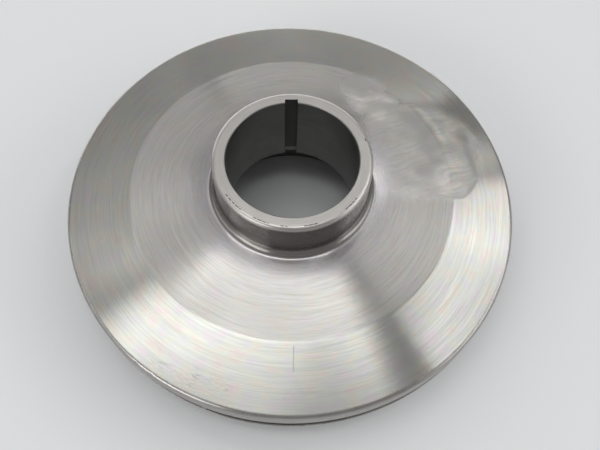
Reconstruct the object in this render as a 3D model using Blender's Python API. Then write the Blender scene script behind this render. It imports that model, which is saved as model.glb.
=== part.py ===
"""Closed pump impeller of turned stainless steel, lying eye side down with its hub up.

The back shroud and its keyed hub are one turned piece. Seven backward curved vanes stand
between it and the front shroud, whose neck around the suction eye carries a wear ring.

Metres, +Z up along the shaft axis. The origin is on the surface that the impeller lies on,
below the middle of the bore. The keyway points along +Y.
"""
import math

import bmesh
import bpy

MM = 0.001
TURNING_STEPS = 96
FIT_GAP = 0.3 * MM

# Heights above the surface that the eye face rests on
EYE_FACE_Z = 0.0
FRONT_RIM_LOW_Z = 29.5 * MM
FRONT_RIM_TOP_Z = 33.0 * MM
PASSAGE_ROOF_Z = 41.6 * MM
BACK_RIM_TOP_Z = 54.0 * MM
HUB_FACE_Z = 106.4 * MM

# Back shroud, from the rim inwards
OUTER_RADIUS = 170.0 * MM
RIM_CHAMFER = 2.3 * MM
RIM_LOWER_CHAMFER = 0.6 * MM
FINISH_LINE_RADIUS = 121.3 * MM
OUTER_CONE_SLOPE = 0.218
INNER_CONE_SLOPE = 0.085
LEVELLING_RADIUS = 84.0 * MM
LEVELLING_STEPS = 4

# Hub and its bore
HUB_RADIUS = 57.2 * MM
HUB_EDGE_ROUNDING = 3.2 * MM
HUB_EDGE_STEPS = 4
HUB_FILLET = 6.5 * MM
HUB_FILLET_STEPS = 5
BORE_RADIUS = 47.4 * MM
BORE_LOW_Z = 39.8 * MM
BORE_CHAMFER = 0.6 * MM
PASSAGE_ROOF_RADIUS = 72.0 * MM
HUB_UNDERSIDE_RADIUS = 60.0 * MM
KEYWAY_WIDTH = 9.5 * MM
KEYWAY_DEPTH = 3.2 * MM

# Front shroud, its neck and the wear ring on the neck
EYE_RADIUS = 70.0 * MM
NECK_RADIUS = 78.0 * MM
EYE_CHAMFER = 1.0 * MM
EYE_ARC = 12.0 * MM
EYE_ARC_STEPS = 5
PASSAGE_FLOOR_SLOPE = 0.084
FRONT_EDGE_CHAMFER = 1.5 * MM
FRONT_THICKNESS = 5.0 * MM
RING_RADIUS = 84.0 * MM
RING_HEIGHT = 16.0 * MM
RING_CHAMFER = 1.0 * MM
SHOULDER_RADIUS = 86.0 * MM
SHOULDER_FILLET = 4.0 * MM
SHOULDER_FILLET_STEPS = 3

# Vanes
VANE_COUNT = 7
VANE_ANGLE = math.radians(24.0)
VANE_THICKNESS = 4.0 * MM
VANE_TIP_THICKNESS = 3.0 * MM
VANE_INLET_RADIUS = 80.5 * MM
VANE_OUTLET_RADIUS = 168.0 * MM
VANE_STATIONS = 16
NOSE_STEPS = 4

FLAT_SHADING_ANGLE = math.radians(25.0)

TURNED_STEEL = ("turned_stainless", (0.50, 0.48, 0.45, 1.0), 0.32)
RING_STEEL = ("ring_stainless", (0.46, 0.45, 0.43, 1.0), 0.38)
VANE_STEEL = ("vane_stainless", (0.33, 0.32, 0.31, 1.0), 0.50)


def clear_scene():
    """Remove every object, so that the file holds only the impeller."""
    for item in list(bpy.data.objects):
        bpy.data.objects.remove(item, do_unlink=True)


def steel(finish):
    """Return the steel material of one finish, made once."""
    name, colour, roughness = finish
    material = bpy.data.materials.get(name)
    if material is None:
        material = bpy.data.materials.new(name)
        material.use_nodes = True
        shader = material.node_tree.nodes["Principled BSDF"]
        shader.inputs["Base Color"].default_value = colour
        shader.inputs["Metallic"].default_value = 1.0
        shader.inputs["Roughness"].default_value = roughness
        material.diffuse_color = colour
    return material


def arc(centre_r, centre_z, radius, start, end, steps):
    """Return points (r, z) on an arc, its angles in degrees from the +r direction."""
    points = []
    for step in range(steps + 1):
        angle = math.radians(start + (end - start) * step / steps)
        points.append((centre_r + radius * math.cos(angle), centre_z + radius * math.sin(angle)))
    return points


def add_object(name, mesh_data, finish):
    """Link a bmesh to the scene as a named object with its steel."""
    bmesh.ops.recalc_face_normals(mesh_data, faces=mesh_data.faces)
    mesh = bpy.data.meshes.new(name)
    mesh_data.to_mesh(mesh)
    mesh_data.free()
    mesh.shade_smooth()
    mesh.set_sharp_from_angle(angle=FLAT_SHADING_ANGLE)
    item = bpy.data.objects.new(name, mesh)
    item.data.materials.append(steel(finish))
    bpy.context.scene.collection.objects.link(item)
    return item


def turned_piece(name, profile, finish):
    """Turn a closed outline of (r, z) points about the shaft axis."""
    mesh_data = bmesh.new()
    corners = [mesh_data.verts.new((radius, 0.0, height)) for radius, height in profile]
    edges = []
    for index, corner in enumerate(corners):
        edges.append(mesh_data.edges.new((corners[index - 1], corner)))
    bmesh.ops.spin(
        mesh_data,
        geom=corners + edges,
        cent=(0.0, 0.0, 0.0),
        axis=(0.0, 0.0, 1.0),
        dvec=(0.0, 0.0, 0.0),
        angle=math.tau,
        steps=TURNING_STEPS,
        use_merge=True,
        use_duplicate=False,
    )
    bmesh.ops.remove_doubles(mesh_data, verts=mesh_data.verts, dist=0.00001)
    return add_object(name, mesh_data, finish)


def finish_line_z():
    """Return the height of the fine line where the two turned cones meet."""
    chamfer_top = BACK_RIM_TOP_Z + RIM_CHAMFER
    return chamfer_top + OUTER_CONE_SLOPE * (OUTER_RADIUS - RIM_CHAMFER - FINISH_LINE_RADIUS)


def levelling_points():
    """Return the stretch where the inner cone levels out towards the hub, outside point first.

    Its slope falls evenly from the cone's slope to nothing at the hub's fillet.
    """
    start_z = finish_line_z() + INNER_CONE_SLOPE * (FINISH_LINE_RADIUS - LEVELLING_RADIUS)
    length = LEVELLING_RADIUS - HUB_RADIUS - HUB_FILLET
    points = []
    for step in range(LEVELLING_STEPS + 1):
        run = length * step / LEVELLING_STEPS
        rise = INNER_CONE_SLOPE * (run - run * run / (2.0 * length))
        points.append((LEVELLING_RADIUS - run, start_z + rise))
    return points


def back_shroud_profile():
    """Return the outline of the hub and back shroud, from the hub's face outwards and down."""
    edge_z = HUB_FACE_Z - HUB_EDGE_ROUNDING
    hub_edge = arc(HUB_RADIUS - HUB_EDGE_ROUNDING, edge_z, HUB_EDGE_ROUNDING, 90.0, 0.0, HUB_EDGE_STEPS)

    levelling = levelling_points()
    fillet_r, level_z = levelling[-1]
    fillet = arc(fillet_r, level_z + HUB_FILLET, HUB_FILLET, 180.0, 270.0, HUB_FILLET_STEPS)

    profile = [(BORE_RADIUS + BORE_CHAMFER, HUB_FACE_Z)]
    profile += hub_edge
    profile += fillet[:-1]
    profile += list(reversed(levelling))
    profile += [
        (FINISH_LINE_RADIUS, finish_line_z()),
        (OUTER_RADIUS - RIM_CHAMFER, BACK_RIM_TOP_Z + RIM_CHAMFER),
        (OUTER_RADIUS, BACK_RIM_TOP_Z),
        (OUTER_RADIUS, PASSAGE_ROOF_Z + RIM_LOWER_CHAMFER),
        (OUTER_RADIUS - RIM_LOWER_CHAMFER, PASSAGE_ROOF_Z),
        (PASSAGE_ROOF_RADIUS, PASSAGE_ROOF_Z),
        (HUB_UNDERSIDE_RADIUS, BORE_LOW_Z),
        (BORE_RADIUS + BORE_CHAMFER, BORE_LOW_Z),
        (BORE_RADIUS, BORE_LOW_Z + BORE_CHAMFER),
        (BORE_RADIUS, HUB_FACE_Z - BORE_CHAMFER),
    ]
    return profile


def keyway_cutter():
    """Return the block that cuts the keyway into the far side of the bore."""
    mesh_data = bmesh.new()
    bmesh.ops.create_cube(mesh_data, size=1.0)
    height = 2.0 * HUB_FACE_Z
    inner_y = 0.5 * BORE_RADIUS
    depth = BORE_RADIUS + KEYWAY_DEPTH - inner_y
    bmesh.ops.scale(mesh_data, verts=mesh_data.verts, vec=(KEYWAY_WIDTH, depth, height))
    bmesh.ops.translate(mesh_data, verts=mesh_data.verts, vec=(0.0, inner_y + 0.5 * depth, HUB_FACE_Z))
    cutter = add_object("keyway_cutter", mesh_data, TURNED_STEEL)
    cutter.hide_render = True
    cutter.display_type = "WIRE"
    return cutter


def build_back_shroud():
    """Turn the hub and back shroud in one piece and cut its keyway."""
    shroud = turned_piece("back_shroud_with_hub", back_shroud_profile(), TURNED_STEEL)
    cut = shroud.modifiers.new("keyway", "BOOLEAN")
    cut.operation = "DIFFERENCE"
    cut.solver = "EXACT"
    cut.object = keyway_cutter()
    return shroud


def passage_floor_z(radius):
    """Return the height of the front shroud's face inside the passages."""
    return FRONT_RIM_TOP_Z - PASSAGE_FLOOR_SLOPE * (OUTER_RADIUS - radius)


def front_shroud_profile():
    """Return the outline of the front shroud, from the eye's lower edge up and outwards."""
    lean = math.degrees(math.atan(PASSAGE_FLOOR_SLOPE))
    arc_r = EYE_RADIUS + EYE_ARC
    arc_end_r = arc_r - EYE_ARC * math.sin(math.radians(lean))
    arc_z = passage_floor_z(arc_end_r) - EYE_ARC * math.cos(math.radians(lean))
    eye_arc = arc(arc_r, arc_z, EYE_ARC, 180.0, 90.0 + lean, EYE_ARC_STEPS)

    shoulder_z = EYE_FACE_Z + RING_HEIGHT + FIT_GAP
    skin_r = SHOULDER_RADIUS + SHOULDER_FILLET
    skin_z = passage_floor_z(skin_r) - FRONT_THICKNESS
    profile = [
        (EYE_RADIUS + EYE_CHAMFER, EYE_FACE_Z),
        (EYE_RADIUS, EYE_FACE_Z + EYE_CHAMFER),
    ]
    profile += eye_arc
    profile += [
        (OUTER_RADIUS - RIM_LOWER_CHAMFER, FRONT_RIM_TOP_Z),
        (OUTER_RADIUS, FRONT_RIM_TOP_Z - RIM_LOWER_CHAMFER),
        (OUTER_RADIUS, FRONT_RIM_LOW_Z + FRONT_EDGE_CHAMFER),
        (OUTER_RADIUS - FRONT_EDGE_CHAMFER, FRONT_RIM_LOW_Z),
        (skin_r, skin_z),
    ]
    shoulder = arc(skin_r, skin_z - SHOULDER_FILLET, SHOULDER_FILLET, 90.0, 180.0, SHOULDER_FILLET_STEPS)
    profile += shoulder[1:]
    profile += [
        (SHOULDER_RADIUS, shoulder_z),
        (NECK_RADIUS, shoulder_z),
        (NECK_RADIUS, EYE_FACE_Z + EYE_CHAMFER),
        (NECK_RADIUS - EYE_CHAMFER, EYE_FACE_Z),
    ]
    return profile


def build_front_shroud():
    """Turn the front shroud with the neck of the suction eye."""
    return turned_piece("front_shroud", front_shroud_profile(), TURNED_STEEL)


def build_wear_ring():
    """Turn the wear ring that sits on the neck, flush with the eye's face."""
    inner = NECK_RADIUS + FIT_GAP
    profile = [
        (inner + RING_CHAMFER, EYE_FACE_Z),
        (RING_RADIUS - RING_CHAMFER, EYE_FACE_Z),
        (RING_RADIUS, EYE_FACE_Z + RING_CHAMFER),
        (RING_RADIUS, EYE_FACE_Z + RING_HEIGHT),
        (inner, EYE_FACE_Z + RING_HEIGHT),
        (inner, EYE_FACE_Z + RING_CHAMFER),
    ]
    return turned_piece("eye_wear_ring", profile, RING_STEEL)


def vane_station(radius, half):
    """Return the two side points of the vane at one radius, and its middle and direction."""
    turn = math.log(radius / VANE_INLET_RADIUS) / math.tan(VANE_ANGLE)
    out = (math.cos(turn), math.sin(turn))
    around = (-math.sin(turn), math.cos(turn))
    along = [math.sin(VANE_ANGLE) * out[i] + math.cos(VANE_ANGLE) * around[i] for i in range(2)]
    across = (-along[1], along[0])
    middle = (radius * out[0], radius * out[1])
    left = (middle[0] + half * across[0], middle[1] + half * across[1])
    right = (middle[0] - half * across[0], middle[1] - half * across[1])
    return left, right, middle, along


def vane_rows():
    """Return pairs of side points from the vane's round nose to its outlet tip."""
    rows = []
    half = 0.5 * VANE_THICKNESS
    _, _, middle, along = vane_station(VANE_INLET_RADIUS, half)
    across = (-along[1], along[0])
    for step in range(NOSE_STEPS):
        angle = 0.5 * math.pi * (step + 0.5) / NOSE_STEPS
        back = half * math.cos(angle)
        side = half * math.sin(angle)
        tip = (middle[0] - back * along[0], middle[1] - back * along[1])
        left = (tip[0] + side * across[0], tip[1] + side * across[1])
        right = (tip[0] - side * across[0], tip[1] - side * across[1])
        rows.append((left, right))
    for step in range(VANE_STATIONS + 1):
        share = step / VANE_STATIONS
        radius = VANE_INLET_RADIUS + (VANE_OUTLET_RADIUS - VANE_INLET_RADIUS) * share
        thickness = VANE_THICKNESS + (VANE_TIP_THICKNESS - VANE_THICKNESS) * share ** 3
        left, right, _, _ = vane_station(radius, 0.5 * thickness)
        rows.append((left, right))
    return rows


def vane_mesh(turn):
    """Return the vane turned by an angle about the shaft axis, between the two shrouds."""
    mesh_data = bmesh.new()
    top_z = PASSAGE_ROOF_Z - FIT_GAP
    columns = []
    for row in vane_rows():
        corners = []
        for x, y in row:
            turned_x = x * math.cos(turn) - y * math.sin(turn)
            turned_y = x * math.sin(turn) + y * math.cos(turn)
            low_z = passage_floor_z(math.hypot(x, y)) + FIT_GAP
            corners.append(mesh_data.verts.new((turned_x, turned_y, low_z)))
            corners.append(mesh_data.verts.new((turned_x, turned_y, top_z)))
        columns.append(corners)
    for near, far in zip(columns, columns[1:]):
        left_low, left_top, right_low, right_top = near
        far_left_low, far_left_top, far_right_low, far_right_top = far
        mesh_data.faces.new((left_low, far_left_low, far_left_top, left_top))
        mesh_data.faces.new((right_low, right_top, far_right_top, far_right_low))
        mesh_data.faces.new((left_top, far_left_top, far_right_top, right_top))
        mesh_data.faces.new((left_low, right_low, far_right_low, far_left_low))
    nose = columns[0]
    tip = columns[-1]
    mesh_data.faces.new((nose[0], nose[1], nose[3], nose[2]))
    mesh_data.faces.new((tip[0], tip[2], tip[3], tip[1]))
    return mesh_data


def build_vanes():
    """Build the backward curved vanes, evenly spaced around the eye."""
    for index in range(VANE_COUNT):
        turn = math.tau * index / VANE_COUNT
        add_object(f"vane_{index + 1}", vane_mesh(turn), VANE_STEEL)


def main():
    """Build every piece of the impeller."""
    clear_scene()
    build_back_shroud()
    build_front_shroud()
    build_wear_ring()
    build_vanes()


main()
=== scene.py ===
"""Looks of a closed pump impeller of turned stainless steel, lying eye side down.

Each class below builds one sub-assembly from its sizes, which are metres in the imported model's
own frame: +Z up along the shaft axis, the keyway along +Y, the table at height zero.
"""
import logging
import math
from abc import ABC, abstractmethod
from collections.abc import Callable
from dataclasses import dataclass
from enum import StrEnum

import bpy
from mathutils import Matrix, Vector


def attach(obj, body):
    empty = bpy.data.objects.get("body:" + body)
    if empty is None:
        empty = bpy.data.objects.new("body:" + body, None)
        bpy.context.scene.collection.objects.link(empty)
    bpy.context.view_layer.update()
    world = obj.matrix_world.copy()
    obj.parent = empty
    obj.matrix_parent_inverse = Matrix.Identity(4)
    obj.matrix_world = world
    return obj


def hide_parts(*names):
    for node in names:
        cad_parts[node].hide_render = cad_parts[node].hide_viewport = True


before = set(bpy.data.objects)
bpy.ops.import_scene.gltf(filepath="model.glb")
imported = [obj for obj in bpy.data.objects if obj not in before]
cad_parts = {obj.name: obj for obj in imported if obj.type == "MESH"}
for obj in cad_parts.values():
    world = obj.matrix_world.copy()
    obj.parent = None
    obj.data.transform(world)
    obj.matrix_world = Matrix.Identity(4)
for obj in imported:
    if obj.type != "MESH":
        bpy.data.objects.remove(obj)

MM = 0.001
SMOOTH_ANGLE = math.radians(25.0)
ACROSS_THE_RINGS = 0.25
MERGE_DISTANCE = 0.000002
# How near to a limit counts as on it: for a vertex, for a face that touches it, for one beside it.
TOLERANCE = 0.05 * MM
MARGIN = 0.1 * MM
BAND = 0.5 * MM
RIM_RADIUS = 170.0 * MM
PASSAGE_ROOF_Z = 41.6 * MM
PASSAGE_FLOOR_Z = 33.0 * MM
PASSAGE_FLOOR_SLOPE = 0.084
# Blender's Mix node gives the sockets of all its types the same names.
MIX_NUMBER_A, MIX_NUMBER_B, MIX_COLOUR_A, MIX_COLOUR_B, MIXED_COLOUR = 2, 3, 6, 7, 2

log = logging.getLogger("impeller")

Point = tuple[float, float]
Place = tuple[float, float, float]
Colour = tuple[float, float, float]
Piece = bpy.types.Object
Socket = bpy.types.NodeSocket
Value = float | Place | Socket


class Slot(StrEnum):
    """The record's material slots."""

    TURNED = "turned_steel"
    RING = "ring_steel"
    VANE = "vane_steel"


def deselect() -> None:
    """Select no object."""
    bpy.ops.object.select_all(action="DESELECT")


def activate(piece: Piece) -> None:
    """Make one object the only selected and active one."""
    deselect()
    piece.select_set(True)
    bpy.context.view_layer.objects.active = piece


def arc(centre: Point, radius: float, start: float, end: float, steps: int) -> list[Point]:
    """Return points (r, z) on an arc.

    Args:
        centre: Centre of the arc as (r, z).
        radius: Radius of the arc.
        start: First angle in degrees, from the outward direction.
        end: Last angle in degrees.
        steps: Number of chords.

    Returns:
        The points from the start angle to the end angle.
    """
    angles = [math.radians(start + (end - start) * step / steps) for step in range(steps + 1)]
    return [(centre[0] + radius * math.cos(angle), centre[1] + radius * math.sin(angle)) for angle in angles]


def span(start: Point, end: Point, steps: int) -> list[Point]:
    """Return evenly spaced points between two points, both left out.

    Args:
        start: Point before the first one.
        end: Point after the last one.
        steps: Number of stretches between start and end.

    Returns:
        The points in between.
    """
    shares = [step / steps for step in range(1, steps)]
    return [tuple(near + (far - near) * share for near, far in zip(start, end)) for share in shares]


def passage_floor_z(radius: float) -> float:
    """Return the height of the passages' floor at a radius."""
    return PASSAGE_FLOOR_Z - PASSAGE_FLOOR_SLOPE * (RIM_RADIUS - radius)


def draw_chain(places: list[Place]) -> None:
    """Draw a chain of edges in edit mode by extruding a point along its places.

    Args:
        places: The places in order.
    """
    bpy.ops.mesh.select_all(action="DESELECT")
    bpy.ops.mesh.primitive_plane_add(size=MM, location=places[0])
    bpy.ops.mesh.merge(type="CENTER")
    for near, far in zip(places, places[1:]):
        move = (far[0] - near[0], far[1] - near[1], far[2] - near[2])
        bpy.ops.mesh.extrude_region_move(TRANSFORM_OT_translate={"value": move})


def new_piece(name: str) -> Piece:
    """Start a piece with an empty mesh at the origin and enter edit mode.

    Args:
        name: Name of the piece.

    Returns:
        The piece, in edit mode.
    """
    deselect()
    bpy.ops.mesh.primitive_plane_add(size=MM)
    piece = bpy.context.object
    piece.name = name
    piece.data.name = name
    bpy.ops.object.mode_set(mode="EDIT")
    bpy.ops.mesh.select_all(action="SELECT")
    bpy.ops.mesh.delete(type="VERT")
    return piece


def turn_on_lathe(name: str, outline: list[Point], steps: int) -> Piece:
    """Draw a closed outline point by point and spin it about the shaft axis.

    Args:
        name: Name of the new piece.
        outline: Closed outline as (r, z) points.
        steps: Number of flats in a full turn.

    Returns:
        The turned piece, at the origin.
    """
    piece = new_piece(name)
    closed = outline + outline[:1]
    draw_chain([(radius, 0.0, height) for radius, height in closed])
    bpy.ops.mesh.select_all(action="SELECT")
    bpy.ops.mesh.remove_doubles(threshold=MERGE_DISTANCE)
    bpy.ops.mesh.spin(
        steps=steps, angle=math.tau, use_auto_merge=True, center=(0, 0, 0), axis=(0, 0, 1)
    )
    bpy.ops.mesh.select_all(action="SELECT")
    bpy.ops.mesh.remove_doubles(threshold=MERGE_DISTANCE)
    bpy.ops.mesh.normals_make_consistent(inside=False)
    bpy.ops.object.mode_set(mode="OBJECT")
    return piece


class NodeSheet:
    """The node tree of one material, with short calls for the nodes that it needs."""

    def __init__(self, name: str) -> None:
        """Start a material with its shader.

        Args:
            name: Name of the material.
        """
        self.material = bpy.data.materials.new(name)
        self.material.use_nodes = True
        self.tree = self.material.node_tree
        self.shader = self.tree.nodes["Principled BSDF"]
        self.place = self.add("TexCoord", {}).outputs["Object"]
        x, y, self.height = self.split(self.place)
        self.plan = self.join(x, y, 0.0)
        self.radius = self.vector("LENGTH", self.plan)
        self.bearing = self.vector("NORMALIZE", self.plan)

    def feed(self, node: bpy.types.Node, values: dict[int | str, Value]) -> None:
        """Link sockets to a node's inputs, or set the inputs' own values.

        Args:
            node: The node.
            values: What goes into its inputs, by their index or name.
        """
        for key, value in values.items():
            socket = node.inputs[key]
            if isinstance(value, Socket):
                self.tree.links.new(value, socket)
            else:
                socket.default_value = (*value, 1.0) if socket.type == "RGBA" else value

    def add(self, kind: str, values: dict[int | str, Value], **settings: str | bool) -> bpy.types.Node:
        """Add a node.

        Args:
            kind: Blender's name of the node, after "ShaderNode".
            values: What goes into its inputs, by their index or name.
            settings: Its other settings.

        Returns:
            The node.
        """
        node = self.tree.nodes.new("ShaderNode" + kind)
        for key, setting in settings.items():
            setattr(node, key, setting)
        self.feed(node, values)
        return node

    def math(self, operation: str, *values: Value, clamp: bool = False) -> Socket:
        """Return what a Math node makes of its inputs, between 0 and 1 if clamped."""
        node = self.add("Math", dict(enumerate(values)), operation=operation, use_clamp=clamp)
        return node.outputs[0]

    def vector(self, operation: str, *values: Value) -> Socket:
        """Return what a Vector Math node makes of its inputs, a vector or a number."""
        node = self.add("VectorMath", dict(enumerate(values)), operation=operation)
        return node.outputs["Value" if operation in ("LENGTH", "DOT_PRODUCT") else "Vector"]

    def scaled(self, vector: Value, scale: Value) -> Socket:
        """Return a vector times a number."""
        return self.add("VectorMath", {0: vector, "Scale": scale}, operation="SCALE").outputs[0]

    def split(self, vector: Socket) -> tuple[Socket, Socket, Socket]:
        """Return a vector's three parts."""
        return tuple(self.add("SeparateXYZ", {0: vector}).outputs)

    def join(self, x: Value, y: Value, z: Value) -> Socket:
        """Return the vector of three numbers."""
        return self.add("CombineXYZ", {0: x, 1: y, 2: z}).outputs[0]

    def noise(self, at: Socket, scale: float, detail: float = 2.0) -> Socket:
        """Return a noise texture's grey value, about 0.5 on average."""
        return self.add("TexNoise", {"Vector": at, "Scale": scale, "Detail": detail}).outputs[0]

    def clouds(self, at: Socket, scale: float, detail: float = 3.0) -> Socket:
        """Return a noise that runs from about -1 to 1."""
        return self.math("MULTIPLY_ADD", self.noise(at, scale, detail), 2.0, -1.0)

    def ring_noise(self, pitch: float, runs: float, detail: float = 1.0) -> Socket:
        """Return noise drawn out along the turning direction.

        Args:
            pitch: Distance from ring to ring.
            runs: How fast a ring changes along its turn.
            detail: Octaves of finer rings.

        Returns:
            The noise, from about -1 to 1.
        """
        side_x, side_y, _ = self.split(self.scaled(self.bearing, runs))
        across = self.math("DIVIDE", self.radius, pitch)
        down = self.math("DIVIDE", self.height, pitch)
        values = {"Vector": self.join(across, side_x, side_y), "W": down, "Scale": 1.0, "Detail": detail}
        node = self.add("TexNoise", values, noise_dimensions="4D")
        return self.math("MULTIPLY_ADD", node.outputs[0], 2.0, -1.0)

    def remap(self, value: Value, low: float, high: float, first: float = 0.0, last: float = 1.0) -> Socket:
        """Map low to high smoothly onto first to last, held at both ends."""
        values = dict(enumerate((value, low, high, first, last)))
        return self.add("MapRange", values, interpolation_type="SMOOTHSTEP").outputs[0]

    def tinge(self, share: Value, colour: Value, tint: Value) -> Socket:
        """Return a colour multiplied by a share of a tint."""
        values = {0: share, MIX_COLOUR_A: colour, MIX_COLOUR_B: tint}
        return self.add("Mix", values, data_type="RGBA", blend_type="MULTIPLY").outputs[MIXED_COLOUR]

    def mix(self, share: Value, first: Value, second: Value) -> Socket:
        """Return a mix of two numbers, with a share of the second."""
        return self.add("Mix", {0: share, MIX_NUMBER_A: first, MIX_NUMBER_B: second}).outputs[0]


@dataclass
class Surface:
    """A finish in the making: what has been laid on the steel so far."""

    sheet: NodeSheet
    tint: Value
    roughness: Value
    tone: Value = 1.0
    relief: Value = 0.0

    def mark(self, pattern: Socket, contrast: float, dulling: float = 0.0, height: float = 0.0) -> None:
        """Lay a pattern on the tone, and on gloss and relief where their amounts aren't 0.

        Args:
            pattern: The pattern, from about -1 to 1.
            contrast: How much lighter it makes the steel.
            dulling: How much rougher.
            height: How much higher, in metres.
        """
        math_node = self.sheet.math
        self.tone = math_node("MULTIPLY", self.tone, math_node("MULTIPLY_ADD", pattern, contrast, 1.0))
        if dulling:
            self.roughness = math_node("MULTIPLY_ADD", pattern, dulling, self.roughness)
        if height:
            self.relief = math_node("MULTIPLY_ADD", pattern, height, self.relief)

    def apply(self) -> None:
        """Feed what has been laid on to the shader, the relief as a bump in metres."""
        sheet = self.sheet
        grey = sheet.join(self.tone, self.tone, self.tone)
        values = {"Base Color": sheet.tinge(1.0, self.tint, grey), "Roughness": self.roughness}
        if isinstance(self.roughness, Socket):
            values["Roughness"] = sheet.math("ADD", self.roughness, 0.0, clamp=True)
        if isinstance(self.relief, Socket):
            values["Normal"] = sheet.add("Bump", {"Distance": 1.0, "Height": self.relief}).outputs[0]
        sheet.feed(sheet.shader, values)


class Mark(ABC):
    """Something laid on the steel's look: a mark that the making or the use of the piece left on it, and in
    places painted light.
    """

    @abstractmethod
    def lay(self, surface: Surface) -> None:
        """Lay the mark over what is on a surface.

        Args:
            surface: The finish in the making.
        """


@dataclass(frozen=True)
class ToolRings(Mark):
    """Concentric rings left by the lathe tool."""

    pitch: float
    runs: float
    contrast: float
    gloss: float = 0.0
    depth: float = 0.0
    detail: float = 1.0

    def lay(self, surface: Surface) -> None:
        """Lay the rings on a surface, the lighter ones glossier."""
        rings = surface.sheet.ring_noise(self.pitch, self.runs, self.detail)
        surface.mark(rings, self.contrast, -self.gloss, self.depth)


@dataclass(frozen=True)
class ToolLines(Mark):
    """Single darker lines of the tool, here and there among the rings."""

    pitch: float
    runs: float
    contrast: float
    start: float = 0.25

    def lay(self, surface: Surface) -> None:
        """Lay the lines on a surface."""
        rings = surface.sheet.ring_noise(self.pitch, self.runs)
        lines = surface.sheet.remap(rings, self.start, 2.0 * self.start)
        surface.mark(lines, -self.contrast)


@dataclass(frozen=True)
class Mottle(Mark):
    """Cloudy changes of tone and gloss."""

    scale: float
    contrast: float
    dulling: float = 0.0
    depth: float = 0.0
    detail: float = 4.0

    def lay(self, surface: Surface) -> None:
        """Lay the clouds on a surface."""
        clouds = surface.sheet.clouds(surface.sheet.place, self.scale, self.detail)
        surface.mark(clouds, self.contrast, self.dulling, self.depth)


@dataclass(frozen=True)
class Speckle(Mark):
    """Fine light specks on a greyer ring round the hub, which fades outwards."""

    inner_radius: float
    outer_radius: float
    grain_scale: float
    contrast: float
    haze: Colour
    haze_share: float
    dulling: float = 0.04
    grain_range: Point = (0.55, 0.70)
    edge_scale: float = 60.0
    edge_wander: float = 10.0 * MM

    def lay(self, surface: Surface) -> None:
        """Lay the haze and its specks on a surface.

        Args:
            surface: The finish in the making.
        """
        sheet = surface.sheet
        ragged = sheet.clouds(sheet.place, self.edge_scale)
        edge = sheet.math("MULTIPLY_ADD", ragged, self.edge_wander, sheet.radius)
        fade = sheet.remap(edge, self.inner_radius, self.outer_radius, 1.0, 0.0)
        haze = sheet.math("MULTIPLY", fade, self.haze_share)
        surface.tint = sheet.tinge(haze, surface.tint, self.haze)
        grains = sheet.remap(sheet.noise(sheet.place, self.grain_scale), *self.grain_range)
        surface.mark(sheet.math("MULTIPLY", grains, fade), self.contrast, self.dulling)


@dataclass(frozen=True)
class Rainbow(Mark):
    """Faint colours of the light split by the finest grooves."""

    pitch: float
    runs: float
    share: float
    spread: float = 0.9
    tints: tuple[Colour, ...] = (
        (1.0, 0.84, 0.86), (1.0, 0.97, 0.82), (0.86, 1.0, 0.90), (0.85, 0.92, 1.0), (0.97, 0.86, 1.0)
    )

    def lay(self, surface: Surface) -> None:
        """Lay the colours on a surface.

        Args:
            surface: The finish in the making.
        """
        sheet = surface.sheet
        rings = sheet.ring_noise(self.pitch, self.runs)
        node = sheet.add("ValToRGB", {0: sheet.math("MULTIPLY_ADD", rings, self.spread, 0.5)})
        ramp = node.color_ramp
        while len(ramp.elements) < len(self.tints):
            ramp.elements.new(0.5)
        for index, (element, tint) in enumerate(zip(ramp.elements, self.tints)):
            element.position = (index + 1.0) / (len(self.tints) + 1.0)
            element.color = (*tint, 1.0)
        surface.tint = sheet.tinge(self.share, surface.tint, node.outputs[0])


@dataclass(frozen=True)
class Stroke:
    """The path of one rub, cut or stain, as seen from above."""

    path: tuple[Point, ...]
    half_width: float
    softness: float

    def mask(self, sheet: NodeSheet, plan: Socket) -> Socket:
        """Return 1 inside the stroke and 0 outside it.

        Args:
            sheet: The material's nodes.
            plan: The place seen from above.

        Returns:
            The mask.
        """
        nearest = None
        for start, end in zip(self.path, self.path[1:]):
            along = (end[0] - start[0], end[1] - start[1], 0.0)
            from_start = sheet.vector("SUBTRACT", plan, (*start, 0.0))
            dot = sheet.vector("DOT_PRODUCT", from_start, along)
            share = sheet.math("DIVIDE", dot, along[0] ** 2 + along[1] ** 2, clamp=True)
            away = sheet.vector("SUBTRACT", from_start, sheet.scaled(along, share))
            distance = sheet.vector("LENGTH", away)
            nearest = distance if nearest is None else sheet.math("MINIMUM", nearest, distance)
        inner = self.half_width - self.softness
        return sheet.remap(nearest, inner, self.half_width + self.softness, 1.0, 0.0)


@dataclass(frozen=True)
class Wipe:
    """One stretch inside the rubbed patch, lighter or darker than the rest: a wipe, and in one place a
    painted dark reflection.
    """

    stroke: Stroke
    contrast: float


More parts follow.
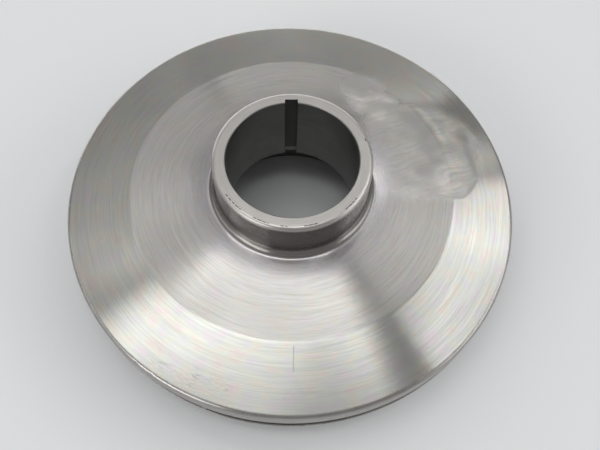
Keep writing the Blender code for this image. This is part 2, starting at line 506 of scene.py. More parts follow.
@dataclass(frozen=True)
class RubbedPatch(Mark):
    """An area rubbed by hand with abrasive cloth, which hides the tool's rings."""

    strokes: tuple[Stroke, ...]
    wipes: tuple[Wipe, ...]
    tone: float
    roughness: float
    wander: float = 9.0 * MM
    wander_scale: float = 55.0
    wander_shift: Place = (0.7, 0.3, 0.0)
    streak_angle: float = math.radians(24.0)
    streak_scale: Point = (40.0, 420.0)
    streak_contrast: float = 0.20
    cloud_scale: float = 75.0
    cloud_contrast: float = 0.20
    hollow_depth: float = 0.10 * MM
    broken_range: Point = (-0.7, 0.5)
    least_broken: float = 0.35

    def bent_plan(self, sheet: NodeSheet) -> Socket:
        """Return the place seen from above, pushed about so that edges wander.

        Args:
            sheet: The material's nodes.

        Returns:
            The place.
        """
        bend_x = sheet.clouds(sheet.plan, self.wander_scale)
        moved = sheet.vector("ADD", sheet.plan, self.wander_shift)
        bend_y = sheet.clouds(moved, self.wander_scale)
        half = 0.5 * self.wander
        bend = sheet.join(bend_x, bend_y, 0.0)
        return sheet.vector("MULTIPLY_ADD", bend, (half, half, 0.0), sheet.plan)

    def streaks(self, sheet: NodeSheet, plan: Socket) -> Socket:
        """Return noise drawn out along the direction of rubbing.

        Args:
            sheet: The material's nodes.
            plan: The place seen from above.

        Returns:
            The noise, from about -1 to 1.
        """
        cos, sin = math.cos(self.streak_angle), math.sin(self.streak_angle)
        along, across = self.streak_scale
        run = sheet.vector("DOT_PRODUCT", plan, (along * cos, along * sin, 0.0))
        step = sheet.vector("DOT_PRODUCT", plan, (-across * sin, across * cos, 0.0))
        return sheet.clouds(sheet.join(run, step, 0.0), 1.0)

    def lay(self, surface: Surface) -> None:
        """Lay the patch over what is on a surface.

        Args:
            surface: The finish in the making.
        """
        sheet = surface.sheet
        bent = self.bent_plan(sheet)
        mask = self.strokes[0].mask(sheet, bent)
        for stroke in self.strokes[1:]:
            mask = sheet.math("MAXIMUM", mask, stroke.mask(sheet, bent))
        streaks = self.streaks(sheet, bent)
        clouds = sheet.clouds(bent, self.cloud_scale, detail=4.0)
        both = sheet.math("ADD", streaks, clouds)
        broken = sheet.remap(both, *self.broken_range, self.least_broken, 1.0)
        rubbed = Surface(sheet, surface.tint, self.roughness, self.tone)
        rubbed.mark(streaks, self.streak_contrast)
        rubbed.mark(clouds, self.cloud_contrast, height=self.hollow_depth)
        for wipe in self.wipes:
            worn = sheet.math("MULTIPLY", wipe.stroke.mask(sheet, bent), broken)
            rubbed.mark(worn, wipe.contrast)
        surface.tone = sheet.mix(mask, surface.tone, rubbed.tone)
        surface.roughness = sheet.mix(mask, surface.roughness, rubbed.roughness)
        surface.relief = sheet.mix(mask, surface.relief, rubbed.relief)


@dataclass(frozen=True)
class Scratch(Mark):
    """A fine line scribed across the rings."""

    stroke: Stroke
    contrast: float
    depth: float

    def lay(self, surface: Surface) -> None:
        """Cut the line into a surface."""
        cut = self.stroke.mask(surface.sheet, surface.sheet.plan)
        surface.mark(cut, -self.contrast, height=-self.depth)


@dataclass(frozen=True)
class Stain(Mark):
    """Darker specks drawn out along the rings, inside one stroke."""

    stroke: Stroke
    contrast: float
    dulling: float = 0.08
    pitch: float = 0.8 * MM
    runs: float = 40.0
    speck_range: Point = (-0.1, 0.5)

    def lay(self, surface: Surface) -> None:
        """Lay the specks on a surface.

        Args:
            surface: The finish in the making.
        """
        sheet = surface.sheet
        specks = sheet.remap(sheet.ring_noise(self.pitch, self.runs, detail=3.0), *self.speck_range)
        spots = sheet.math("MULTIPLY", self.stroke.mask(sheet, sheet.plan), specks)
        surface.mark(spots, -self.contrast, self.dulling)


@dataclass(frozen=True)
class PaintedLightFoot(Mark):
    """A lighter stretch at the low end of a slot: painted light where the slot's low end shows a lit patch.
    """

    low_z: float
    height: float
    lift: float

    def lay(self, surface: Surface) -> None:
        """Lay the painted lighter stretch on a surface."""
        top = self.low_z + self.height
        foot = surface.sheet.remap(surface.sheet.height, top - MM, top, 1.0, 0.0)
        surface.mark(foot, self.lift)


@dataclass(frozen=True)
class Finish:
    """Steel with its marks, in the order in which they came on it."""

    name: str
    colour: Colour
    roughness: float
    anisotropy: float
    marks: tuple[Mark, ...]

    def material(self) -> bpy.types.Material:
        """Return the finish as a material."""
        sheet = NodeSheet(self.name)
        turned = {"Metallic": 1.0, "Anisotropic": self.anisotropy, "Anisotropic Rotation": ACROSS_THE_RINGS}
        sheet.feed(sheet.shader, turned)
        surface = Surface(sheet, self.colour, self.roughness)
        for mark in self.marks:
            mark.lay(surface)
        surface.apply()
        return sheet.material


@dataclass(frozen=True)
class Spot:
    """The middle of a face: its distance from the axis, height, bearing in degrees, and x."""

    radius: float
    height: float
    bearing: float
    x: float


Test = Callable[[Spot], bool]


def everywhere(spot: Spot) -> bool:
    """Hold every face."""
    return True


def within(radius: float) -> Test:
    """Return the test for faces nearer to the axis than a radius."""
    return lambda spot: spot.radius < radius


@dataclass(frozen=True)
class Zone:
    """A stretch of a piece that has one finish."""

    finish: Finish
    holds: Test = everywhere


def complete(piece: Piece, zones: list[Zone]) -> None:
    """Shade a piece smooth with its corners sharp, and give each face its first zone's finish.

    Args:
        piece: The finished mesh.
        zones: The zones in order; the last one holds every face.
    """
    activate(piece)
    bpy.ops.object.shade_smooth_by_angle(angle=SMOOTH_ANGLE)
    deselect()
    piece.data.materials.clear()
    for zone in zones:
        piece.data.materials.append(zone.finish.material())
    for face in piece.data.polygons:
        x, y, z = face.center
        spot = Spot(math.hypot(x, y), z, math.degrees(math.atan2(y, x)), x)
        face.material_index = next(index for index, zone in enumerate(zones) if zone.holds(spot))


def hand_over(piece: Piece, node: str) -> None:
    """Let a finished piece stand for its solid.

    Args:
        piece: The finished piece.
        node: The solid's node.
    """
    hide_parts(node)
    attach(piece, "root")
    log.info("%s: %d faces", piece.name, len(piece.data.polygons))


def stroke(half_width: float, softness: float, *places: Point) -> Stroke:
    """Return a stroke given in millimetres."""
    return Stroke(tuple((x * MM, y * MM) for x, y in places), half_width * MM, softness * MM)


RUBBED_PATCH = RubbedPatch(
    strokes=(
        stroke(10, 10, (53, 93), (65, 91)),
        stroke(9, 8, (56, 76), (78, 77)),
        stroke(17, 13, (78, 58), (86, 20)),
        stroke(12, 9, (90, 62), (112, 65), (132, 52)),
        stroke(21, 9, (98, 36), (124, 38)),
        stroke(19, 10, (90, 9), (116, 10)),
        stroke(20, 1.4, (113, 9), (122, 9)),
        stroke(10, 4, (139, 46), (138, 26)),
        stroke(10, 1.2, (138, 22), (137, 12), (128, 2)),
    ),
    wipes=(
        # This wipe is a painted dark reflection, darker than the rubbing alone makes it.
        Wipe(stroke(9, 5, (51, 98), (65, 91)), -0.28),
        Wipe(stroke(2.2, 2.2, (44, 84), (59, 79.5), (70, 82)), 0.30),
        Wipe(stroke(2.4, 2.2, (66, 88), (76, 82), (85, 76.5)), 0.18),
        Wipe(stroke(4.5, 3.5, (66, 75), (80, 72)), -0.16),
        Wipe(stroke(3.4, 3.2, (56, 68), (71, 62.5)), 0.26),
        Wipe(stroke(7.5, 5, (94, 66), (107, 50), (112, 26)), -0.24),
        Wipe(stroke(3.4, 3, (92, 72), (101, 72)), 0.16),
        Wipe(stroke(3, 2.6, (104, 72), (114, 54.6), (122, 42)), 0.26),
        Wipe(stroke(9, 7, (118, 66), (128, 50)), 0.10),
        Wipe(stroke(2.8, 2.4, (131, 49), (138, 46)), -0.16),
        Wipe(stroke(3.4, 2.6, (136.5, 53), (139.5, 34), (142.5, 12)), -0.24),
        Wipe(stroke(11, 6, (121, 20), (124, -4)), 0.22),
        Wipe(stroke(4.6, 3.6, (100, 12), (116, 21)), -0.24),
        Wipe(stroke(1.8, 1.4, (143, 4), (133, -7.5), (120, -11), (110, -11.5)), -0.20),
    ),
    tone=1.09,
    roughness=0.42,
)
SCRIBED_LINE = Scratch(stroke(0.32, 0.3, (-0.9, -124), (-1.3, -140)), 0.30, 0.008 * MM)
RIM_STAINS = (
    Stain(stroke(5, 4.5, (-92, -131), (-70, -146)), 0.16),
    Stain(stroke(4.5, 4, (-66, -141), (-48, -150)), 0.26),
)
RINGS = (
    ToolRings(9.0 * MM, 0.8, 0.035, 0.006),
    ToolRings(5.0 * MM, 0.7, 0.0, 0.0, 0.002 * MM, 0.0),
    ToolRings(2.0 * MM, 2.0, 0.035, 0.006),
    ToolRings(0.8 * MM, 4.0, 0.15, 0.012),
    ToolLines(1.2 * MM, 5.0, 0.08),
)
FINE_RINGS = (
    ToolRings(2.2 * MM, 1.5, 0.08, 0.02),
    ToolRings(0.9 * MM, 3.0, 0.12),
)
CLOUDS = Mottle(22.0, 0.05, 0.02)
GRAIN = Mottle(700.0, 0.12, 0.0, 0.02 * MM)
HUB_HAZE = Speckle(66.0 * MM, 92.0 * MM, 1500.0, 0.14, (0.98, 0.97, 1.04), 0.9)

OUTER_CONE = Finish(
    "outer_cone_steel", (0.42, 0.407, 0.39), 0.19, 0.80,
    (Rainbow(9.0 * MM, 11.0, 0.38), *RINGS, CLOUDS, *RIM_STAINS, SCRIBED_LINE, RUBBED_PATCH),
)
INNER_CONE = Finish(
    "inner_cone_steel", (0.43, 0.417, 0.40), 0.19, 0.80,
    (Rainbow(9.0 * MM, 11.0, 0.20), *RINGS, CLOUDS, HUB_HAZE, RUBBED_PATCH),
)
# The fillet at the hub's foot is painted much darker: painted shadow in the crease.
HUB_FILLET_PAINTED_SHADE = Finish("hub_fillet_painted_shade_steel", (0.17, 0.165, 0.16), 0.34, 0.3, (*FINE_RINGS, CLOUDS))
# The rounding of the hub's top edge is painted lighter than the hub's side: painted highlight.
HUB_EDGE_PAINTED_HIGHLIGHT = Finish(
    "hub_edge_painted_highlight_steel", (0.46, 0.447, 0.426), 0.34, 0.3, (*FINE_RINGS, Mottle(70.0, 0.12, 0.05))
)
# The hub's side is painted darker than its face: painted shade for the dark reflection on the wall.
HUB_SIDE_PAINTED_SHADE = Finish(
    "hub_side_painted_shade_steel", (0.26, 0.248, 0.235), 0.27, 0.6, (*FINE_RINGS, Mottle(45.0, 0.12, 0.05))
)
HUB_FACE = Finish(
    "hub_face_steel", (0.46, 0.447, 0.426), 0.42, 0.3, (*FINE_RINGS, Mottle(90.0, 0.08, 0.04))
)
# The bore's steel is painted dark: painted shade inside the bore, also used on the eye's inner wall.
BORE_PAINTED_SHADE = Finish("bore_painted_shade_steel", (0.22, 0.22, 0.212), 0.38, 0.4, (*FINE_RINGS, Mottle(60.0, 0.22, 0.06)))
RIM_EDGE = Finish(
    "rim_edge_steel", (0.38, 0.366, 0.352), 0.28, 0.4, (*FINE_RINGS, Mottle(70.0, 0.15, 0.05))
)
FRONT_SKIN = Finish("front_shroud_steel", (0.41, 0.397, 0.38), 0.25, 0.65, (*RINGS, CLOUDS))
RING_STEEL = Finish("wear_ring_steel", (0.43, 0.42, 0.40), 0.24, 0.5, (*FINE_RINGS, CLOUDS))
# The keyway's steel is painted very dark: painted shade of the deep slot, with painted light at its foot.
KEYWAY_PAINTED_SHADE = Finish(
    "keyway_painted_shade_steel", (0.11, 0.108, 0.104), 0.48, 0.0,
    (GRAIN, Mottle(60.0, 0.2), PaintedLightFoot(39.8 * MM, 5.0 * MM, 1.6)),
)
# The raised burrs are real; their near-black colour is painted shade of the burrs' dents.
BURR_AND_PAINTED_SHADE = Finish("burr_painted_shade_steel", (0.03, 0.027, 0.024), 0.65, 0.0, (GRAIN,))
PASSAGE = Finish("passage_steel", (0.28, 0.27, 0.256), 0.50, 0.0, (GRAIN, Mottle(35.0, 0.24, 0.08)))
VANE = Finish("vane_steel", (0.29, 0.28, 0.266), 0.48, 0.0, (GRAIN, Mottle(35.0, 0.24, 0.08)))


@dataclass
class TurnedPart(ABC):
    """A piece turned on the lathe, which stands for one solid."""

    node: str
    name: str
    slot: Slot
    steps: int

    @abstractmethod
    def outline(self) -> list[Point]:
        """Return the turned outline as (r, z) points."""

    @abstractmethod
    def zones(self) -> list[Zone]:
        """Return the finishes of the piece, face by face."""

    def work_on(self, piece: Piece) -> None:
        """Do to the turned piece what a lathe can't. Most pieces need nothing."""

    def build(self) -> None:
        """Turn the piece, work on it, finish it and hand it to the frame."""
        piece = turn_on_lathe(self.name, self.outline(), self.steps)
        self.work_on(piece)
        complete(piece, self.zones())
        hand_over(piece, self.node)


@dataclass
class BackShroud(TurnedPart):
    """The turned disc with its cones, hub, bore and keyway."""

    node: str = "back_shroud_with_hub"
    name: str = "turned_back_shroud"
    slot: Slot = Slot.TURNED
    steps: int = 600
    rim_top_z: float = 54.0 * MM
    rim_chamfer: float = 2.3 * MM
    rim_edge_radius: float = 3.4 * MM
    rim_lower_chamfer: float = 0.6 * MM
    finish_line_radius: float = 121.3 * MM
    finish_line_width: float = 0.5 * MM
    finish_line_depth: float = 0.035 * MM
    edge_support: float = 0.6 * MM
    outer_slope: float = 0.218
    inner_slope: float = 0.085
    levelling_radius: float = 84.0 * MM
    levelling_steps: int = 10
    hub_radius: float = 57.2 * MM
    hub_face_z: float = 106.4 * MM
    hub_rounding: float = 3.2 * MM
    hub_fillet: float = 6.5 * MM
    hub_side_reach: float = 3.0 * MM
    hub_shadow_reach: float = 4.6 * MM
    bore_radius: float = 47.4 * MM
    bore_low_z: float = 39.8 * MM
    bore_chamfer: float = 0.6 * MM
    passage_roof_radius: float = 72.0 * MM
    hub_underside_radius: float = 60.0 * MM
    keyway_width: float = 9.5 * MM
    keyway_depth: float = 3.2 * MM
    burr_height: float = 0.05 * MM
    burr_reach: float = 0.9 * MM
    burr_length: float = 2.4
    burr_gap: float = 0.9
    burr_rhythm: Point = (5.2, -0.8)
    burrs: tuple[Point, ...] = (
        (-147.5, -131.0), (-120.0, -108.0), (-99.5, -94.5), (-83.0, -71.8), (-50.0, -37.4), (14.5, 17.5)
    )
    nicks: tuple[Place, ...] = ((-129.7, 0.5, 0.2), (-127.2, 0.4, 0.15), (-125.0, 0.5, 0.2))
    nick_drop: float = 0.4

    def finish_line_z(self) -> float:
        """Return the height of the fine line where the two cones meet."""
        run = RIM_RADIUS - self.rim_chamfer - self.finish_line_radius
        return self.rim_top_z + self.rim_chamfer + self.outer_slope * run

    def levelling(self) -> list[Point]:
        """Return the stretch where the inner cone levels out towards the hub, from outside in."""
        start_z = self.finish_line_z()
        start_z += self.inner_slope * (self.finish_line_radius - self.levelling_radius)
        length = self.levelling_radius - self.hub_radius - self.hub_fillet
        runs = [length * step / self.levelling_steps for step in range(self.levelling_steps + 1)]
        rises = [self.inner_slope * (run - run * run / (2.0 * length)) for run in runs]
        return [(self.levelling_radius - run, start_z + rise) for run, rise in zip(runs, rises)]

    def finish_line(self) -> list[Point]:
        """Return the fine groove between the two cones, from the inside out."""
        half = 0.5 * self.finish_line_width
        wide = half + self.edge_support
        radius, height = self.finish_line_radius, self.finish_line_z()
        return [
            *((radius - reach, height + self.inner_slope * reach) for reach in (wide, half)),
            (radius, height - self.finish_line_depth),
            *((radius + reach, height - self.outer_slope * reach) for reach in (half, wide)),
        ]

    def rim_rounding(self) -> list[Point]:
        """Return the worn edge between the cone and the rim's wall, from the cone down."""
        lean = math.degrees(math.atan(self.outer_slope))
        half_turn = math.radians(0.5 * (90.0 - lean))
        corner_z = self.rim_top_z + self.rim_chamfer * (1.0 - self.outer_slope)
        reach = self.rim_edge_radius * math.tan(half_turn)
        centre = (RIM_RADIUS - self.rim_edge_radius, corner_z - reach)
        return arc(centre, self.rim_edge_radius, 90.0 - lean, 0.0, 7)

    def hub_edge(self) -> list[Point]:
        """Return the rounding between the hub's face and its side, from the face down."""
        centre = (self.hub_radius - self.hub_rounding, self.hub_face_z - self.hub_rounding)
        return arc(centre, self.hub_rounding, 90.0, 0.0, 8)

    def outline(self) -> list[Point]:
        """Return the turned outline, from the hub's face outwards, down and back in."""
        levelling = self.levelling()
        fillet_centre = (levelling[-1][0], levelling[-1][1] + self.hub_fillet)
        groove = self.finish_line()
        rim_arc = self.rim_rounding()
        support = self.edge_support
        rim_support = (rim_arc[0][0] - support, rim_arc[0][1] + self.outer_slope * support)
        bore_edge = (self.bore_radius + self.bore_chamfer, self.hub_face_z)
        return [
            bore_edge,
            *span(bore_edge, (self.hub_radius - self.hub_rounding, self.hub_face_z), 3),
            *self.hub_edge(),
            *arc(fillet_centre, self.hub_fillet, 180.0, 270.0, 12)[:-1],
            *reversed(levelling),
            *span(levelling[0], groove[0], 6),
            *groove,
            *span(groove[-1], rim_support, 8),
            rim_support,
            *rim_arc,
            (RIM_RADIUS, PASSAGE_ROOF_Z + self.rim_lower_chamfer),
            (RIM_RADIUS - self.rim_lower_chamfer, PASSAGE_ROOF_Z),
            (self.passage_roof_radius, PASSAGE_ROOF_Z),
            (self.hub_underside_radius, self.bore_low_z),
            (self.bore_radius + self.bore_chamfer, self.bore_low_z),
            (self.bore_radius, self.bore_low_z + self.bore_chamfer),
            (self.bore_radius, self.hub_face_z - self.bore_chamfer),
        ]

    def cut_keyway(self, piece: Piece) -> None:
        """Cut the keyway through the far side of the bore.

        Args:
            piece: The turned shroud.
        """
        deselect()
        inner_y = 0.5 * self.bore_radius
        depth = self.bore_radius + self.keyway_depth - inner_y
        bpy.ops.mesh.primitive_cube_add(size=1.0, location=(0.0, inner_y + 0.5 * depth, self.hub_face_z))
        cutter = bpy.context.object
        cutter.scale = (self.keyway_width, depth, 2.0 * self.hub_face_z)
        bpy.ops.object.transform_apply(location=True, rotation=False, scale=True)
        activate(piece)
        cut = piece.modifiers.new("keyway", "BOOLEAN")
        cut.operation = "DIFFERENCE"
        cut.solver = "EXACT"
        cut.object = cutter
        bpy.ops.object.modifier_apply(modifier=cut.name)
        bpy.data.objects.remove(cutter, do_unlink=True)

    def knock(self, piece: Piece, ring: Point, bearings: Point, move: Point) -> None:
        """Push the vertices of one ring out of line over a short stretch.

        Args:
            piece: The turned shroud.
            ring: Radius and height of the ring.
            bearings: First and last bearing in degrees.
            move: How far the vertices go, outwards and up.
        """
        activate(piece)
        bpy.ops.object.mode_set(mode="EDIT")
        bpy.ops.mesh.select_mode(type="VERT")
        bpy.ops.mesh.select_all(action="DESELECT")
        bpy.ops.object.mode_set(mode="OBJECT")
        for vertex in piece.data.vertices:
            x, y, z = vertex.co
            on_ring = abs(math.hypot(x, y) - ring[0]) < TOLERANCE and abs(z - ring[1]) < TOLERANCE
            vertex.select = on_ring and bearings[0] <= math.degrees(math.atan2(y, x)) <= bearings[1]
        middle = math.radians(0.5 * (bearings[0] + bearings[1]))
        value = (move[0] * math.cos(middle), move[0] * math.sin(middle), move[1])
        bpy.ops.object.mode_set(mode="EDIT")
        bpy.ops.transform.translate(value=value)
        bpy.ops.object.mode_set(mode="OBJECT")

    def pieces_of_burr(self) -> list[Point]:
        """Return the short stretches, longer and shorter by turns, that the burrs break up into."""
        pieces = []
        for first, last in self.burrs:
            bearing = first
            length = self.burr_length
            while bearing < last:
                pieces.append((bearing, min(bearing + length, last)))
                bearing += length + self.burr_gap
                length = self.burr_rhythm[0] + self.burr_rhythm[1] * length
        return pieces

    def work_on(self, piece: Piece) -> None:
        """Raise the burrs round the hub's face, knock nicks into the rim and cut the keyway.

        Args:
            piece: The turned shroud.
        """
        for stretch in self.pieces_of_burr():
            self.knock(piece, self.hub_edge()[1], stretch, (0.0, self.burr_height))
        for bearing, half_width, depth in self.nicks:
            stretch = (bearing - half_width, bearing + half_width)
            dent = (-depth * MM, -self.nick_drop * depth * MM)
            for ring in self.rim_rounding()[2:-2]:
                self.knock(piece, ring, stretch, dent)
        self.cut_keyway(piece)

    def on_burr(self, spot: Spot) -> bool:
        """Hold the faces of the burrs."""
        past_face = spot.radius - self.hub_radius + self.hub_rounding
        on_edge = spot.height > self.hub_face_z - BAND and MARGIN < past_face < self.burr_reach
        return on_edge and any(low <= spot.bearing <= high for low, high in self.pieces_of_burr())

    def in_keyway(self, spot: Spot) -> bool:
        """Hold the walls of the keyway."""
        deep = TOLERANCE < spot.radius - self.bore_radius < 1.5 * self.keyway_depth
        between = self.bore_low_z + MARGIN < spot.height < self.hub_face_z - BAND
        return deep and between and spot.bearing > 0.0 and abs(spot.x) < 0.5 * self.keyway_width + TOLERANCE

    def in_passage(self, spot: Spot) -> bool:
        """Hold the underside, from the hub out to the rim."""
        return spot.height < PASSAGE_ROOF_Z + MARGIN and spot.radius < RIM_RADIUS - MM

    def on_face(self, spot: Spot) -> bool:
        """Hold the hub's flat face."""
        edge = self.hub_radius - self.hub_rounding + MARGIN
        return spot.height > self.hub_face_z - BAND and spot.radius < edge

    def zones(self) -> list[Zone]:
        """Return the finishes of the shroud, face by face."""
        return [
            Zone(BURR_AND_PAINTED_SHADE, self.on_burr),
            Zone(KEYWAY_PAINTED_SHADE, self.in_keyway),
            Zone(BORE_PAINTED_SHADE, within(self.bore_radius + BAND)),
            Zone(PASSAGE, self.in_passage),
            Zone(HUB_FACE, self.on_face),
            Zone(HUB_EDGE_PAINTED_HIGHLIGHT, lambda spot: spot.height > self.hub_face_z - self.hub_rounding),
            Zone(HUB_SIDE_PAINTED_SHADE, within(self.hub_radius + self.hub_side_reach)),
            Zone(HUB_FILLET_PAINTED_SHADE, within(self.hub_radius + self.hub_shadow_reach)),
            Zone(INNER_CONE, within(self.finish_line_radius)),
            Zone(OUTER_CONE, within(RIM_RADIUS - self.rim_chamfer - MARGIN)),
            Zone(RIM_EDGE),
        ]


@dataclass
class FrontShroud(TurnedPart):
    """The lower disc with the neck of the suction eye."""

    node: str = "front_shroud"
    name: str = "turned_front_shroud"
    slot: Slot = Slot.TURNED
    steps: int = 480
    rim_low_z: float = 29.5 * MM
    eye_radius: float = 70.0 * MM
    neck_radius: float = 78.0 * MM
    eye_chamfer: float = 1.0 * MM
    eye_arc: float = 12.0 * MM
    thickness: float = 5.0 * MM
    edge_chamfer: float = 1.5 * MM
    inner_edge_chamfer: float = 0.6 * MM
    shoulder_radius: float = 86.0 * MM
    shoulder_fillet: float = 4.0 * MM
    ring_height: float = 16.0 * MM
    fit_gap: float = 0.3 * MM
    floor_band: float = 0.6 * MM
    floor_arc_share: float = 0.7
    floor_edge: float = 0.4 * MM
    rim_band: float = 0.9 * MM
    eye_low_z: float = 1.5 * MM

    def outline(self) -> list[Point]:
        """Return the turned outline, from the eye's lower edge up, outwards and back under."""
        lean = math.atan(PASSAGE_FLOOR_SLOPE)
        arc_r = self.eye_radius + self.eye_arc
        arc_z = passage_floor_z(arc_r - self.eye_arc * math.sin(lean)) - self.eye_arc * math.cos(lean)
        shoulder_z = self.ring_height + self.fit_gap
        skin_r = self.shoulder_radius + self.shoulder_fillet
        skin = (skin_r, passage_floor_z(skin_r) - self.thickness)
        low_edge = (RIM_RADIUS - self.edge_chamfer, self.rim_low_z)
        return [
            (self.eye_radius + self.eye_chamfer, 0.0),
            (self.eye_radius, self.eye_chamfer),
            *arc((arc_r, arc_z), self.eye_arc, 180.0, 90.0 + math.degrees(lean), 16),
            (RIM_RADIUS - self.inner_edge_chamfer, PASSAGE_FLOOR_Z),
            (RIM_RADIUS, PASSAGE_FLOOR_Z - self.inner_edge_chamfer),
            (RIM_RADIUS, self.rim_low_z + self.edge_chamfer),
            low_edge,
            *span(low_edge, skin, 10),
            skin,
            *arc((skin[0], skin[1] - self.shoulder_fillet), self.shoulder_fillet, 90.0, 180.0, 10)[1:],
            (self.shoulder_radius, shoulder_z),
            (self.neck_radius, shoulder_z),
            (self.neck_radius, self.eye_chamfer),
            (self.neck_radius - self.eye_chamfer, 0.0),
        ]

    def in_passage(self, spot: Spot) -> bool:
        """Hold the passages' floor."""
        on_floor = abs(spot.height - passage_floor_z(spot.radius)) < self.floor_band
        start = self.eye_radius + self.eye_arc * self.floor_arc_share
        return on_floor and start < spot.radius < RIM_RADIUS - self.floor_edge

    def zones(self) -> list[Zone]:
        """Return the finishes of the shroud, face by face."""
        return [
            Zone(PASSAGE, self.in_passage),
            # The eye's inner wall gets the bore's painted shade.
            Zone(BORE_PAINTED_SHADE, lambda spot: spot.radius < self.neck_radius and spot.height > self.eye_low_z),
            Zone(RIM_EDGE, lambda spot: spot.radius > RIM_RADIUS - self.rim_band),
            Zone(FRONT_SKIN),
        ]


@dataclass
class WearRing(TurnedPart):
    """The ring pressed on the neck, flush with the eye's face."""

    node: str = "eye_wear_ring"
    name: str = "turned_wear_ring"
    slot: Slot = Slot.RING
    steps: int = 360
    inner_radius: float = 78.3 * MM
    outer_radius: float = 84.0 * MM
    height: float = 16.0 * MM
    chamfer: float = 1.0 * MM
    edge_rounding: float = 0.3 * MM

    def outline(self) -> list[Point]:
        """Return the turned outline, from the lower inner chamfer outwards and up."""
        rounding = self.edge_rounding
        top = self.height - rounding
        return [
            (self.inner_radius + self.chamfer, 0.0),
            (self.outer_radius - self.chamfer, 0.0),
            (self.outer_radius, self.chamfer),
            *arc((self.outer_radius - rounding, top), rounding, 0.0, 90.0, 3),
            *arc((self.inner_radius + rounding, top), rounding, 90.0, 180.0, 3),
            (self.inner_radius, self.chamfer),
        ]

    def zones(self) -> list[Zone]:
        """Return the ring's one finish."""
        return [Zone(RING_STEEL)]


@dataclass
class VaneRow:
    """The backward curved vanes between the shrouds, with the fillets of their welds."""

    count: int = 7
    angle: float = math.radians(24.0)
    thickness: float = 4.0 * MM
    tip_thickness: float = 3.0 * MM
    inlet_radius: float = 80.5 * MM
    outlet_radius: float = 168.0 * MM
    turned_radius: float = 169.5 * MM
    fillet: float = 2.2 * MM
    fillet_start: float = 0.12
    fillet_steps: int = 4
    stations: int = 24
    nose_steps: int = 6

    def station(self, radius: float) -> tuple[Vector, Vector]:
        """Follow the vane's middle line.

        Args:
            radius: How far from the axis.

        Returns:
            The middle of the vane there, and its direction.
        """
        turn = math.log(radius / self.inlet_radius) / math.tan(self.angle)
        out = Vector((math.cos(turn), math.sin(turn)))
        around = Vector((-math.sin(turn), math.cos(turn)))
        return out * radius, math.sin(self.angle) * out + math.cos(self.angle) * around

    def plan(self, flare: float) -> list[Vector]:
        """Return the vane's outline from above.

        Args:
            flare: How far the fillet stands out from the vane's side.

        Returns:
            The outline's corners: one side out, the other side back, and round the nose.
        """
        left = []
        right = []
        for step in range(self.stations + 1):
            share = step / self.stations
            radius = self.inlet_radius + (self.outlet_radius - self.inlet_radius) * share
            thickness = self.thickness + (self.tip_thickness - self.thickness) * share ** 3
            middle, along = self.station(radius)
            across = Vector((-along.y, along.x)) * (0.5 * thickness + flare)
            left.append(middle + across)
            right.append(middle - across)
        middle, along = self.station(self.inlet_radius)
        across = Vector((-along.y, along.x))
        reach = 0.5 * self.thickness + flare
        nose = []
        for step in range(1, self.nose_steps):
            angle = math.pi * step / self.nose_steps
            nose.append(middle - across * reach * math.cos(angle) - along * reach * math.sin(angle))
        outline = left + list(reversed(right)) + nose
        return [point * min(1.0, self.turned_radius / point.length) for point in outline]

    def rings(self) -> list[list[Place]]:
        """Return the outlines from the floor to the roof, flared where the fillets are."""
        start = self.fillet_start
        levels = []
        for step in range(self.fillet_steps + 1):
            angle = 0.5 * math.pi * (start + (1.0 - start) * step / self.fillet_steps)
            lift = self.fillet * (1.0 - math.cos(angle)) if step else 0.0
            levels.append((self.fillet * (1.0 - math.sin(angle)), lift))
        rings = []
        for flare, lift in levels:
            rings.append([(p.x, p.y, passage_floor_z(p.length) + lift) for p in self.plan(flare)])
        for flare, lift in reversed(levels):
            rings.append([(p.x, p.y, PASSAGE_ROOF_Z - lift) for p in self.plan(flare)])
        return rings

    def model(self) -> Piece:
        """Model the first vane: draw its outlines, bridge them and close both ends."""
        piece = new_piece("vane_with_fillets_1")
        for ring in self.rings():
            draw_chain(ring + ring[:1])
        bpy.ops.mesh.select_all(action="SELECT")
        bpy.ops.mesh.remove_doubles(threshold=MERGE_DISTANCE)
        bpy.ops.mesh.select_mode(type="EDGE")
        bpy.ops.mesh.select_all(action="SELECT")
        bpy.ops.mesh.bridge_edge_loops()
        bpy.ops.mesh.select_all(action="SELECT")
        bpy.ops.mesh.fill_holes(sides=0)
        bpy.ops.mesh.select_mode(type="VERT")
        bpy.ops.mesh.select_all(action="SELECT")
        bpy.ops.mesh.normals_make_consistent(inside=False)
        bpy.ops.object.mode_set(mode="OBJECT")
        return piece

    def build(self) -> None:
        """Model one vane, copy it round the eye and hand each one to the frame."""
        first = self.model()
        complete(first, [Zone(VANE)])
        vanes = [first]
        for index in range(1, self.count):
            activate(first)
            bpy.ops.object.duplicate()
            copy = bpy.context.object
            copy.name = f"vane_with_fillets_{index + 1}"
            copy.data.name = copy.name
            copy.rotation_euler = (0.0, 0.0, math.tau * index / self.count)
            bpy.ops.object.transform_apply(location=False, rotation=True, scale=False)
            vanes.append(copy)
        for index, vane in enumerate(vanes):
            hand_over(vane, f"vane_{index + 1}")
        deselect()


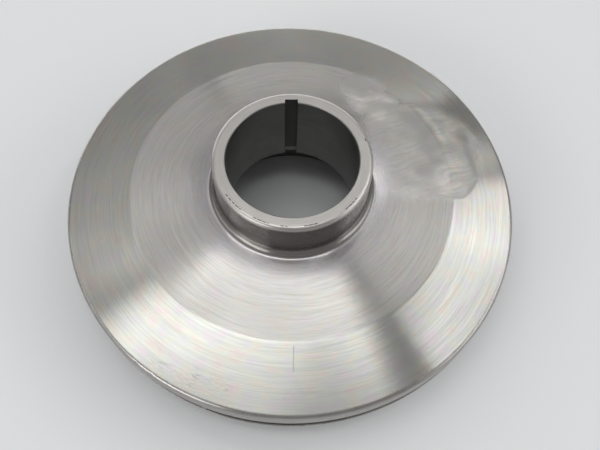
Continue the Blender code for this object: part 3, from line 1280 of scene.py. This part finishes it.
@dataclass(frozen=True)
class Panel:
    """One soft light, seen from the impeller as a lit rectangle overhead.

    Its place is given as leans from straight up, in degrees: towards +X and towards +Y.
    """

    name: str
    lean: Point
    half_size: Point
    turn: float
    radiance: float

    def hang(self, distance: float, aim: Place) -> None:
        """Hang the light and point it at the impeller.

        Args:
            distance: How far it hangs from the impeller.
            aim: Point that it faces.
        """
        tilt = math.radians(math.hypot(*self.lean))
        bearing = math.atan2(self.lean[1], self.lean[0])
        level = math.sin(tilt)
        away = Vector((level * math.cos(bearing), level * math.sin(bearing), math.cos(tilt)))
        side = (Vector((1.0, 0.0, 0.0)) - away * away.x).normalized()
        width_axis = side * math.cos(self.turn) + away.cross(side) * math.sin(self.turn)
        height_axis = away.cross(width_axis)
        width, height = (2.0 * distance * math.tan(math.radians(half)) for half in self.half_size)
        data = bpy.data.lights.new(self.name, "AREA")
        data.shape = "RECTANGLE"
        data.size = width
        data.size_y = height
        data.energy = self.radiance * math.pi * width * height
        light = bpy.data.objects.new(self.name, data)
        light.rotation_euler = Matrix((width_axis, height_axis, away)).transposed().to_euler()
        light.location = Vector(aim) + away * distance
        bpy.context.scene.collection.objects.link(light)


@dataclass
class Studio:
    """The pale table, the soft lights and the camera at the photo's angle."""

    table_size: float = 8.0
    table_z: float = -0.2 * MM
    table_colour: Colour = (0.730, 0.740, 0.752)
    table_roughness: float = 0.6
    room_light: float = 0.351
    room_colour: Colour = (1.0, 0.99, 0.98)
    lens: float = 39.0
    film_width: float = 36.0
    camera_place: Place = (-0.00953, -0.24807, 0.49189)
    aim: Place = (0.00582, -0.02659, 0.054)
    roll: float = math.radians(3.007)
    light_distance: float = 10.0
    light_aim: Place = (0.0, 0.0, 0.06)
    panels: tuple[Panel, ...] = (
        Panel("overhead_strip", (-8.8, -2.2), (27, 5.8), -0.10, 2.47),
        Panel("right_strip", (37.5, 12.7), (2.5, 20.9), -0.35, 3.87),
        Panel("second_strip", (-1.7, 13.7), (12.7, 2.4), -0.23, 3.75),
        Panel("third_strip", (18.1, 32.8), (20.8, 2.6), 0.40, 1.80),
        Panel("fourth_strip", (10.9, 52.8), (19.1, 1.8), 0.20, 1.73),
        Panel("left_low_fill", (-21.3, 18), (14.5, 9), 0.70, 0.48),
        Panel("left_fill", (-29.5, 31.8), (10.9, 22), -0.82, 0.40),
        Panel("right_fill", (23.5, 20.8), (12.3, 7.2), 0.56, 0.69),
        Panel("far_wall", (-18.2, 86.8), (41.1, 9.6), -0.01, 3.65),
        Panel("front_fill", (-9.8, -6.7), (12.2, 10.4), -0.88, 0.72),
        Panel("left_side", (-62, -8), (9, 26), 0.00, 0.90),
        Panel("right_side", (62, -8), (9, 26), 0.00, 2.20),
        Panel("front_left", (-47, -46), (16, 10), 0.00, 3.45),
    )

    def table(self) -> None:
        """Lay the pale table."""
        deselect()
        bpy.ops.mesh.primitive_plane_add(size=self.table_size, location=(0.0, 0.0, self.table_z))
        table = bpy.context.object
        table.name = "table_top"
        material = bpy.data.materials.new("pale_table")
        material.use_nodes = True
        shader = material.node_tree.nodes["Principled BSDF"]
        shader.inputs["Base Color"].default_value = (*self.table_colour, 1.0)
        shader.inputs["Roughness"].default_value = self.table_roughness
        table.data.materials.append(material)

    def world(self) -> None:
        """Set the room's own even light."""
        world = bpy.data.worlds.new("room_light")
        world.use_nodes = True
        background = world.node_tree.nodes["Background"]
        background.inputs["Strength"].default_value = self.room_light
        background.inputs["Color"].default_value = (*self.room_colour, 1.0)
        bpy.context.scene.world = world

    def camera(self) -> None:
        """Set the camera at the photo's angle."""
        data = bpy.data.cameras.new("photo_camera")
        data.lens = self.lens
        data.sensor_width = self.film_width
        camera = bpy.data.objects.new("photo_camera", data)
        direction = (Vector(self.aim) - Vector(self.camera_place)).normalized()
        turn = direction.to_track_quat("-Z", "Y") @ Matrix.Rotation(self.roll, 3, "Z").to_quaternion()
        camera.rotation_euler = turn.to_euler()
        camera.location = self.camera_place
        bpy.context.scene.collection.objects.link(camera)
        bpy.context.scene.camera = camera

    def build(self) -> None:
        """Set up the whole studio."""
        self.table()
        self.world()
        for panel in self.panels:
            panel.hang(self.light_distance, self.light_aim)
        self.camera()
        bpy.context.scene.view_settings.view_transform = "Standard"


def main() -> None:
    """Build and dress every piece, then set the studio around it."""
    logging.basicConfig(level=logging.INFO, format="%(name)s: %(message)s")
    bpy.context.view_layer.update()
    for part in (BackShroud(), FrontShroud(), WearRing(), VaneRow(), Studio()):
        part.build()


if __name__ == "__main__":
    main()
